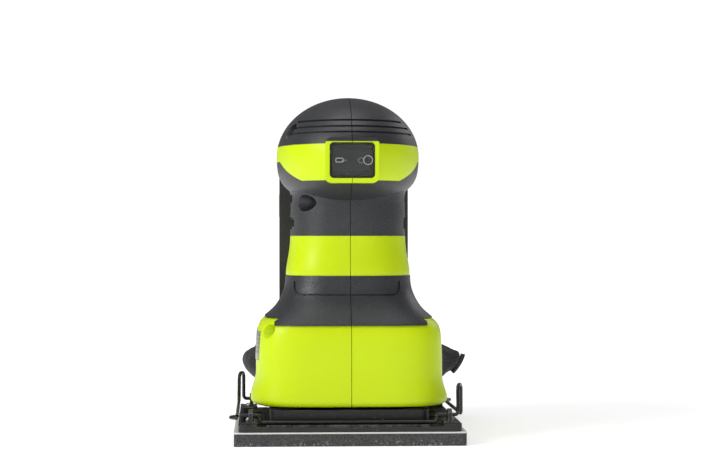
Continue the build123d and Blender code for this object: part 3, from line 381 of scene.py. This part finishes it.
def paint_cad_nodes():
    for part in frame["record"]["subparts"]:
        node = frame["nodes"].get(part["node"])
        if node is None:
            continue
        finish = FINISHES[part["material_slot"]]
        if not node.material_slots:
            node.data.materials.append(finish)
        for slot in node.material_slots:
            slot.link = "OBJECT"
            slot.material = finish


# ---------------------------------------------------------------- mesh helpers
def add_object(name, mesh, material, body, slot, smooth=True):
    piece = bpy.data.objects.new(name, mesh)
    bpy.context.scene.collection.objects.link(piece)
    mesh.materials.append(material)
    mesh.polygons.foreach_set("use_smooth", [smooth] * len(mesh.polygons))
    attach(piece, body)
    return piece


def mesh_of(name, points, faces):
    mesh = bpy.data.meshes.new(name)
    mesh.from_pydata([tuple(p) for p in points], [], faces)
    mesh.validate()
    mesh.update()
    return mesh


def tube_faces(rings, around, closed=False):
    """Faces of a tube whose points come ring by ring; an open one is capped at both ends."""
    faces = []
    for ring in range(rings if closed else rings - 1):
        here, there = ring * around, (ring + 1) % rings * around
        for k in range(around):
            after = (k + 1) % around
            faces.append((here + k, here + after, there + after, there + k))
    if not closed:
        faces.append(tuple(range(around))[::-1])
        faces.append(tuple((rings - 1) * around + k for k in range(around)))
    return faces


def unit_superellipse(around, power):
    """Points of a closed curve between an ellipse (power 2) and a rectangle, in the unit square."""
    points = []
    for k in range(around):
        turn = 2 * math.pi * k / around
        c, s = math.cos(turn), math.sin(turn)
        points.append(
            (math.copysign(abs(c) ** (2 / power), c), math.copysign(abs(s) ** (2 / power), s))
        )
    return points


def swept_strip(name, path, outward, width, thickness, material, body, slot):
    """A flat strip along path, of an oval section. outward holds the strip's face normal at each point."""
    section = unit_superellipse(12, 3.0)
    points = []
    for k, centre in enumerate(path):
        before, after = path[max(k - 1, 0)], path[min(k + 1, len(path) - 1)]
        across = (after - before).normalized().cross(outward[k]).normalized()
        for u, v in section:
            points.append(centre + across * (u * width / 2) + outward[k] * (v * thickness / 2))
    mesh = mesh_of(name, points, tube_faces(len(path), len(section)))
    add_object(name, mesh, material, body, slot)


def stitches(name, path, outward, pitch, gauge, body, slot):
    """A row of short rounded thread stitches along path, standing on its surface."""
    made = bmesh.new()
    travelled, due = 0.0, pitch / 2
    for k in range(len(path) - 1):
        step = path[k + 1] - path[k]
        while due < travelled + step.length:
            centre = path[k] + step * ((due - travelled) / step.length)
            along = step.normalized()
            up = outward[k]
            side = along.cross(up).normalized()
            found = bmesh.ops.create_icosphere(made, subdivisions=2, radius=1.0)
            for v in found["verts"]:
                local = v.co.copy()
                v.co = (
                    centre
                    + along * (local.x * pitch * 0.34)
                    + side * (local.y * gauge / 2)
                    + up * (local.z * gauge / 2)
                )
            due += pitch
        travelled += step.length
    mesh = bpy.data.meshes.new(name)
    made.to_mesh(mesh)
    made.free()
    add_object(name, mesh, STITCH_THREAD, body, slot)


# ---------------------------------------------------------------- dust bag
# Sections of the bag from its left end to the sewn right end, in mm:
# x, middle height, half height, half depth, lean of the section to the right with height
BAG_SECTIONS = [
    (-53.8, 33.4, 2.0, 4.0, 0.0),
    (-51.8, 32.6, 4.8, 10.5, 0.0),
    (-47.4, 31.0, 8.2, 17.0, 0.0),
    (-41.0, 30.0, 10.8, 21.0, 0.0),
    (-28.0, 29.2, 13.2, 23.4, 0.0),
    (-8.0, 29.0, 14.2, 24.0, 0.0),
    (14.0, 29.2, 14.2, 24.0, 0.0),
    (34.0, 29.8, 13.2, 23.0, 0.0),
    (46.0, 30.6, 12.2, 20.5, 0.0),
    (52.5, 30.8, 10.6, 16.0, 0.0),
    (56.5, 31.0, 9.4, 10.0, 0.05),
    (59.4, 31.0, 7.9, 6.4, 0.15),
    (62.2, 30.8, 6.5, 4.2, 0.45),
    (65.0, 30.2, 5.4, 2.2, 0.60),
]
SEAM_WIDTH = 5.0 * MM
SEAM_THICKNESS = 1.0 * MM
SEAM_STITCH_PITCH = 2.4 * MM
SEAM_ROW_OFFSET = 1.6 * MM
TAPE_STITCH_PITCH = 2.0 * MM
THREAD_GAUGE = 0.5 * MM
TAPE_WIDTH = 2.6 * MM
TAPE_THICKNESS = 2.6 * MM
BAG_AROUND = 48
BAG_ROUNDING = 2.5
BAG_DEPTH_CENTRE = (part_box("dust_bag_cloth")[0].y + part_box("dust_bag_cloth")[1].y) / 2
CLOTH_VOXEL = 2.6 * MM
CLOTH_PRESSURE = 3.2
CLOTH_FRAMES = 16
CLOTH_REACH = 2.4 * MM
CREASE_DEPTH = 1.9 * MM
SEWN_END_X = 59 * MM
HELD_BEHIND_COLLAR = 4 * MM
SEWN = ("dust_bag", "bag_fabric")
# The cuff's section as it passes over the collar's flange, in mm:
# how far behind the flange's front face, and how far outside the flange
CUFF_SECTION = [
    (-1.2, -0.4),
    (-1.6, 0.9),
    (-0.6, 1.9),
    (1.5, 2.1),
    (3.6, 1.6),
    (5.6, 0.2),
    (6.2, -1.6),
    (3.2, 0.3),
    (1.0, 0.5),
]
CUFF_AROUND = 120
CUFF_GATHERS = 30


def collar_flange():
    """The rounded rectangle of the collar that the bag's mouth is stretched over."""
    low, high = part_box("dust_bag_collar")
    half_height = 10.0 * MM
    return SimpleNamespace(
        x=(low.x + high.x) / 2,
        z=low.z + half_height,
        half_width=(high.x - low.x) / 2,
        half_height=half_height,
        back=high.y,
    )


def bag_shell():
    """The bag before it is inflated, lofted through its sections, with a neck up to its mouth."""
    table = np.array(BAG_SECTIONS) * np.array([MM, MM, MM, MM, 1.0])
    steps = np.linspace(0, len(table) - 1, 6 * len(table))
    rows = np.stack([np.interp(steps, range(len(table)), table[:, c]) for c in range(5)], axis=1)
    points = []
    for x, middle, tall, deep, lean in rows:
        for u, v in unit_superellipse(BAG_AROUND, BAG_ROUNDING):
            rise = v * tall
            points.append(Vector((x + lean * rise, BAG_DEPTH_CENTRE + u * deep, middle + rise)))
    faces = tube_faces(len(rows), BAG_AROUND)
    mouth = collar_flange()
    neck_rings, neck_length, joined_height = 9, 22 * MM, 30.5 * MM
    base = len(points)
    for share in np.linspace(0, 1, neck_rings):
        flare = share * share * (3 - 2 * share)
        half_width = mouth.half_width * (1 + 0.35 * flare) - 0.6 * MM
        half_height = mouth.half_height * (1 + 0.12 * flare) - 0.4 * MM
        middle = mouth.z + (joined_height - mouth.z) * flare
        for u, v in unit_superellipse(BAG_AROUND, 3.6 - 1.1 * flare):
            depth = mouth.back + 2.0 * MM + neck_length * share
            points.append(Vector((mouth.x + u * half_width, depth, middle + v * half_height)))
    faces += [tuple(base + k for k in face[::-1]) for face in tube_faces(neck_rings, BAG_AROUND)]
    return mesh_of("dust_bag", points, faces)


def apply_modifiers(piece):
    evaluated = piece.evaluated_get(bpy.context.evaluated_depsgraph_get())
    mesh = bpy.data.meshes.new_from_object(evaluated)
    piece.modifiers.clear()
    piece.data = mesh


def inflate(piece):
    """Blows the bag up a little as cloth, its mouth and its sewn end held, and caps the travel."""
    remesh = piece.modifiers.new("even_cloth", "REMESH")
    remesh.mode = "VOXEL"
    remesh.voxel_size = CLOTH_VOXEL
    apply_modifiers(piece)
    rest = np.array([v.co for v in piece.data.vertices])
    mouth_low, mouth_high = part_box("dust_bag_collar")
    held = piece.vertex_groups.new(name="held")
    near_mouth = [
        v.index
        for v in piece.data.vertices
        if v.co.y < mouth_high.y + HELD_BEHIND_COLLAR and mouth_low.x < v.co.x < mouth_high.x
    ]
    sewn_end = [v.index for v in piece.data.vertices if v.co.x > SEWN_END_X]
    held.add(near_mouth + sewn_end, 1.0, "REPLACE")
    cloth = piece.modifiers.new("cloth", "CLOTH")
    cloth.settings.quality = 6
    cloth.settings.mass = 0.12
    cloth.settings.tension_stiffness = 12
    cloth.settings.compression_stiffness = 3
    cloth.settings.bending_stiffness = 0.2
    cloth.settings.use_pressure = True
    cloth.settings.uniform_pressure_force = CLOTH_PRESSURE
    cloth.settings.vertex_group_mass = "held"
    cloth.settings.effector_weights.gravity = 0.0
    cloth.point_cache.frame_start = 1
    cloth.point_cache.frame_end = CLOTH_FRAMES
    for step in range(1, CLOTH_FRAMES + 1):
        bpy.context.scene.frame_set(step)
    apply_modifiers(piece)
    bpy.context.scene.frame_set(1)
    moved = np.array([v.co for v in piece.data.vertices]) - rest
    travel = np.linalg.norm(moved, axis=1, keepdims=True)
    moved *= np.minimum(1.0, CLOTH_REACH / np.maximum(travel, 1e-9))
    piece.data.vertices.foreach_set("co", (rest + moved).ravel())
    piece.data.update()


def crease(point):
    """How far the cloth is pushed along its normal: sharp-edged folds running into the ends, and slack."""
    middle_x, smooth_reach, folding_reach = 6 * MM, 22 * MM, 34 * MM
    toward_end = min(1.0, max(0.0, (abs(point.x - middle_x) - smooth_reach) / folding_reach))
    folded = Vector((point.x * 38, point.y * 95, point.z * 120))
    ridge = 1 - abs(noise.noise(folded)) * 2.4
    slack = noise.noise(Vector((point.x * 45, point.y * 45, point.z * 60)))
    return CREASE_DEPTH * (0.55 * ridge * (0.35 + 0.65 * toward_end) + 0.45 * slack - 0.25)


def make_dust_bag():
    mesh = bag_shell()
    piece = bpy.data.objects.new("dust_bag", mesh)
    bpy.context.scene.collection.objects.link(piece)
    inflate(piece)
    subdivide = piece.modifiers.new("smooth_cloth", "SUBSURF")
    subdivide.levels = 1
    subdivide.render_levels = 1
    apply_modifiers(piece)
    normals = [v.normal.copy() for v in piece.data.vertices]
    for v, normal in zip(piece.data.vertices, normals):
        v.co = v.co + normal * crease(v.co)
    piece.data.update()
    piece.data.materials.clear()
    piece.data.materials.append(FINISHES["bag_fabric"])
    piece.data.polygons.foreach_set("use_smooth", [True] * len(piece.data.polygons))
    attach(piece, "dust_bag")
    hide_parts("dust_bag_cloth")
    return piece


def surface_line(piece, starts, directions, lift):
    """Points where rays from starts along directions leave the surface, lifted off it, with the ray's
    direction at each."""
    tree = BVHTree.FromPolygons(
        [v.co for v in piece.data.vertices], [tuple(p.vertices) for p in piece.data.polygons]
    )
    clear_of_the_bag = 80 * MM
    path, outward = [], []
    for start, direction in zip(starts, directions):
        hit, _, _, _ = tree.ray_cast(start + direction * clear_of_the_bag, -direction)
        if hit is not None:
            path.append(hit + direction * lift)
            outward.append(direction)
    return path, outward


def smoothed(points, rounds=3):
    for _ in range(rounds):
        points = (
            [points[0]]
            + [(a + b * 2 + c) / 4 for a, b, c in zip(points, points[1:], points[2:])]
            + [points[-1]]
        )
    return points


def sew_bag(piece):
    """The lengthwise felled seams over the bag's top rear and under its front, each double stitched,
    and the taped right end."""
    seams = {"top_seam": (58, -47, 55), "bottom_seam": (-104, -46, 54)}
    for name, (degrees, first, last) in seams.items():
        turn = math.radians(degrees)
        direction = Vector((0, math.cos(turn), math.sin(turn)))
        starts = [Vector((x * MM, BAG_DEPTH_CENTRE, 30 * MM)) for x in np.linspace(first, last, 72)]
        path, outward = surface_line(piece, starts, [direction] * len(starts), 0.05 * MM)
        path = smoothed(path)
        swept_strip(
            f"dust_bag_{name}", path, outward, SEAM_WIDTH, SEAM_THICKNESS, BINDING_TAPE, *SEWN
        )
        side = Vector((1, 0, 0)).cross(direction).normalized()
        for label, offset in (("a", -SEAM_ROW_OFFSET), ("b", SEAM_ROW_OFFSET)):
            row = [p + side * offset + direction * (SEAM_THICKNESS / 2) for p in path]
            stitches(
                f"dust_bag_{name}_stitches_{label}", row, outward, SEAM_STITCH_PITCH, THREAD_GAUGE, *SEWN
            )

    last_x, middle, tall, _, lean = BAG_SECTIONS[-1]
    end_line = []
    for share in np.linspace(-0.94, 0.94, 14):
        rise = share * tall
        bow = 1.1 * (1 - share * share)
        x, z = last_x + lean * rise + bow, middle + rise
        end_line.append(Vector((x * MM, BAG_DEPTH_CENTRE, z * MM)))
    facing = [Vector((0, -1, 0))] * len(end_line)
    swept_strip("dust_bag_end_tape", end_line, facing, TAPE_WIDTH, TAPE_THICKNESS, BINDING_TAPE, *SEWN)
    for label, side in (("front", -1), ("rear", 1)):
        row = [p + Vector((0, side * TAPE_THICKNESS / 2, 0)) for p in end_line[1:-1]]
        outward = [Vector((0, side, 0))] * len(row)
        stitches(f"dust_bag_end_stitches_{label}", row, outward, TAPE_STITCH_PITCH, THREAD_GAUGE, *SEWN)


def make_cuff():
    """The gathered elastic mouth of the bag, stretched over the collar's flange."""
    mouth = collar_flange()
    flange_front = mouth.back - 2.0 * MM
    points = []
    for k, (u, v) in enumerate(unit_superellipse(CUFF_AROUND, 5.0)):
        gather = 0.32 * math.sin(k * math.pi * 2 * CUFF_GATHERS / CUFF_AROUND) + 0.14 * math.sin(k * 1.7)
        for back, out in CUFF_SECTION:
            spread = (out + gather * (0.4 + 0.6 * (out > 0.8))) * MM
            x = mouth.x + u * (mouth.half_width + spread)
            z = mouth.z + v * (mouth.half_height + spread)
            points.append(Vector((x, flange_front + back * MM, z)))
    mesh = mesh_of("dust_bag_cuff", points, tube_faces(CUFF_AROUND, len(CUFF_SECTION), closed=True))
    piece = add_object("dust_bag_cuff", mesh, BINDING_TAPE, *SEWN)
    subdivide = piece.modifiers.new("soft_folds", "SUBSURF")
    subdivide.levels = 1
    subdivide.render_levels = 1


# ---------------------------------------------------------------- marks on the switch cover
def flat_band(name, outline_outer, outline_inner, y, thickness):
    """A raised printed band between two outlines of (x, z) points, its face towards -Y."""
    count = len(outline_outer)
    points = []
    for outline, depth in (
        (outline_outer, 0.0),
        (outline_outer, -thickness),
        (outline_inner, -thickness),
        (outline_inner, 0.0),
    ):
        points += [Vector((x, y + depth, z)) for x, z in outline]
    faces = []
    for ring in range(4):
        here, there = ring * count, (ring + 1) % 4 * count
        for k in range(count):
            after = (k + 1) % count
            faces.append((here + k, there + k, there + after, here + after))
    mesh = mesh_of(name, points, faces)
    add_object(name, mesh, PRINTED_MARK, "housing", "label_film", smooth=False)


def outline(centre_x, centre_z, half_width, half_height, power, count=40):
    return [
        (centre_x + u * half_width, centre_z + v * half_height)
        for u, v in unit_superellipse(count, power)
    ]


def switch_marks():
    low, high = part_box("switch_boot")
    middle_z = (low.z + high.z) / 2
    face = low.y + 0.02 * MM
    line, thickness = 0.35 * MM, 0.10 * MM
    ring_x, dash_x = 7.5 * MM, -6.2 * MM
    ring_radius, dash_half = 2.3 * MM, (1.9 * MM, 1.1 * MM)
    flat_band(
        "switch_mark_ring",
        outline(ring_x, middle_z, ring_radius, ring_radius, 2),
        outline(ring_x, middle_z, ring_radius - line, ring_radius - line, 2),
        face,
        thickness,
    )
    flat_band(
        "switch_mark_frame",
        outline(dash_x, middle_z, *dash_half, 6),
        outline(dash_x, middle_z, dash_half[0] - line, dash_half[1] - line, 6),
        face,
        thickness,
    )


# ---------------------------------------------------------------- battery back
def cushion_plate(name, centre, half_width, half_height, thickness, power, material, slot):
    """A plate with a rounded rim on the battery's back, its face towards +Y."""
    around = 40
    rings = [(0.0, -0.3 * MM), (0.0, thickness * 0.55), (0.12 * MM, thickness * 0.85), (0.35 * MM, thickness)]
    points = []
    for inset, rise in rings:
        for u, v in unit_superellipse(around, power):
            points.append(centre + Vector((u * (half_width - inset), rise, v * (half_height - inset))))
    mesh = mesh_of(name, points, tube_faces(len(rings), around))
    add_object(name, mesh, material, "battery", slot)


def battery_back():
    """The charge gauge's four lenses and its button, and the grip ribs of the lower panel, in the two
    recesses of the battery's back."""
    recess_depth = 0.8 * MM
    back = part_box("battery_case_upper")[1].y - recess_depth
    gauge_z, first_lens_x, lens_radius, lens_pitch = 125.5 * MM, -10.4 * MM, 1.45 * MM, 4.8 * MM
    first_rib_z, rib_pitch, rib_half_length = 70.1, 3.15, 21.4
    for count in range(4):
        centre = Vector((first_lens_x + count * lens_pitch, back, gauge_z))
        cushion_plate(
            f"gauge_lens_{count + 1}", centre, lens_radius, lens_radius, 0.7 * MM, 2, GAUGE_LENS,
            "clear_plastic",
        )
    button = Vector((10.0 * MM, back, gauge_z))
    cushion_plate(
        "gauge_button", button, 3.2 * MM, 2.4 * MM, 0.75 * MM, 3, FINISHES["dark_rubber"], "dark_rubber"
    )
    for count in range(7):
        z = (first_rib_z + rib_pitch * count) * MM
        across = np.linspace(-rib_half_length, rib_half_length, 12)
        path = [Vector((x * MM, back + 0.15 * MM, z)) for x in across]
        swept_strip(
            f"battery_grip_rib_{count + 1}", path, [Vector((0, 1, 0))] * len(path), 1.7 * MM, 1.1 * MM,
            FINISHES["dark_rubber"], "battery", "dark_rubber",
        )


# ---------------------------------------------------------------- studio
def area_light(name, place, aim, size, power):
    data = bpy.data.lights.new(name, "AREA")
    data.shape = "DISK"
    data.size = size
    data.energy = power
    lamp = bpy.data.objects.new(name, data)
    bpy.context.scene.collection.objects.link(lamp)
    lamp.location = place
    lamp.rotation_mode = "QUATERNION"
    lamp.rotation_quaternion = (Vector(aim) - Vector(place)).to_track_quat("-Z", "Y")


def white_floor():
    """A round pale floor, far wider than any view of the sander."""
    radius, rings, around = 6.0, 6, 64
    points = [Vector((0, 0, 0))]
    faces = []
    turns = [2 * math.pi * k / around for k in range(around)]
    for ring in range(1, rings + 1):
        reach = radius * (ring / rings) ** 2
        points += [Vector((reach * math.cos(turn), reach * math.sin(turn), 0)) for turn in turns]
    for k in range(around):
        faces.append((0, 1 + k, 1 + (k + 1) % around))
    for ring in range(rings - 1):
        here, there = 1 + ring * around, 1 + (ring + 1) * around
        for k in range(around):
            after = (k + 1) % around
            faces.append((here + k, there + k, there + after, here + after))
    mesh = mesh_of("floor", points, faces)
    floor = bpy.data.objects.new("floor", mesh)
    bpy.context.scene.collection.objects.link(floor)
    paper = Finish("paper_floor", Specular_IOR_Level=0.1)
    paper.set("Base Color", paper.mix(paper.noise(0.4, 3.0), (0.93, 0.93, 0.93, 1), (0.96, 0.96, 0.96, 1)))
    paper.set("Roughness", paper.ramp(paper.noise(0.2), 0.3, 0.7, 0.85, 0.95))
    paper.set("Emission Color", (1, 1, 1, 1))
    away = paper.node("ShaderNodeVectorMath", {"Vector": paper.place}, operation="LENGTH").outputs["Value"]
    paper.set("Emission Strength", paper.ramp(away, 0.15, 1.3, 0.42, 0.85))
    mesh.materials.append(paper.material)


def studio_world():
    """White behind the sander, and a dimmer even light on it."""
    world = bpy.data.worlds.new("studio")
    bpy.context.scene.world = world
    world.use_nodes = True
    nodes, links = world.node_tree.nodes, world.node_tree.links
    nodes.clear()
    seen = nodes.new("ShaderNodeBackground")
    seen.inputs["Color"].default_value = (1, 1, 1, 1)
    seen.inputs["Strength"].default_value = 1.05
    felt = nodes.new("ShaderNodeBackground")
    felt.inputs["Color"].default_value = (1, 1, 1, 1)
    felt.inputs["Strength"].default_value = 0.20
    path = nodes.new("ShaderNodeLightPath")
    either = nodes.new("ShaderNodeMixShader")
    links.new(path.outputs["Is Camera Ray"], either.inputs[0])
    links.new(felt.outputs[0], either.inputs[1])
    links.new(seen.outputs[0], either.inputs[2])
    output = nodes.new("ShaderNodeOutputWorld")
    links.new(either.outputs[0], output.inputs["Surface"])


def studio():
    white_floor()
    studio_world()
    middle = (0.0, 0.0, 0.09)
    area_light("key_left", (-1.5, -0.9, 1.0), middle, 0.9, 19)
    area_light("overhead", (-0.1, -0.1, 1.7), middle, 1.4, 11)
    area_light("fill_front", (0.3, -2.2, 0.7), middle, 1.2, 2.0)
    area_light("back_right", (1.2, 1.5, 0.9), middle, 1.0, 3)


def front_camera():
    """Level at mid height, a little to the left, about 0.87 m from the sander's front."""
    data = bpy.data.cameras.new("camera")
    data.lens = 93.0
    data.sensor_width = 36.0
    camera = bpy.data.objects.new("camera", data)
    bpy.context.scene.collection.objects.link(camera)
    place, aim = Vector((-0.0433, -0.9199, 0.0998)), Vector((0.0, -0.051, 0.0998))
    camera.location = place
    camera.rotation_mode = "QUATERNION"
    camera.rotation_quaternion = (aim - place).to_track_quat("-Z", "Y")
    bpy.context.scene.camera = camera


paint_cad_nodes()
bag = make_dust_bag()
sew_bag(bag)
make_cuff()
switch_marks()
battery_back()
studio()
front_camera()
bpy.context.scene.view_settings.view_transform = "Standard"

bpy.context.view_layer.update()
